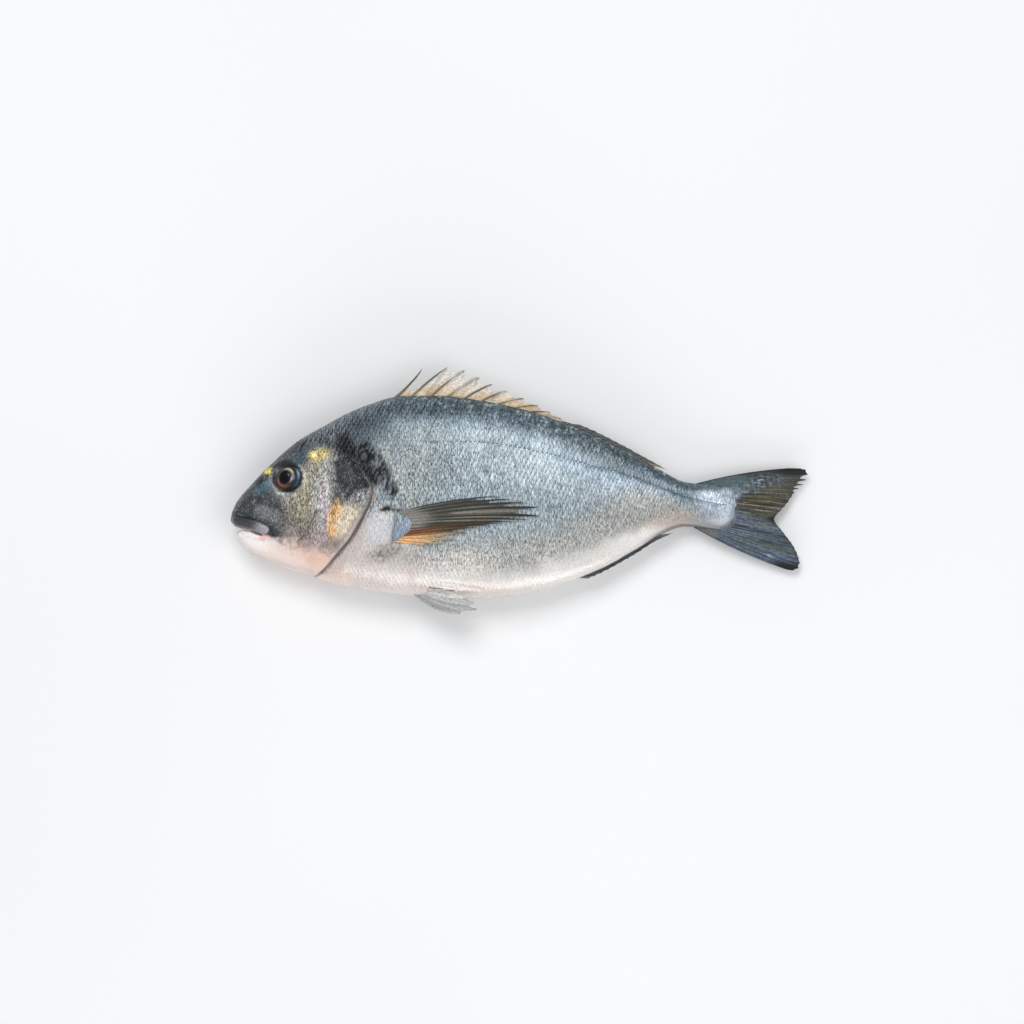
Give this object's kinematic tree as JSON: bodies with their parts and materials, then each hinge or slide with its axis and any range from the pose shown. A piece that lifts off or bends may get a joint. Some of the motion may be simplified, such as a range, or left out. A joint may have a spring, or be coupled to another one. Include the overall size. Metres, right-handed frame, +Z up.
{
  "type": "sea bream",
  "caption": "Whole gilt-head sea bream lying on its right side, deep oval body with folded fins and a forked tail.",
  "frame": {"origin": "on the table, under the middle of the fish's bounding box", "axes": "+X from the snout to the tail, +Y from the belly to the back, +Z up out of the left flank"},
  "size_m": [0.3, 0.1278, 0.0408],
  "materials": {
    "fish_skin": "wet silver grey skin"
  },
  "bodies": {
    "root": {"sea_bream": "fish_skin"}
  },
  "joints": []
}
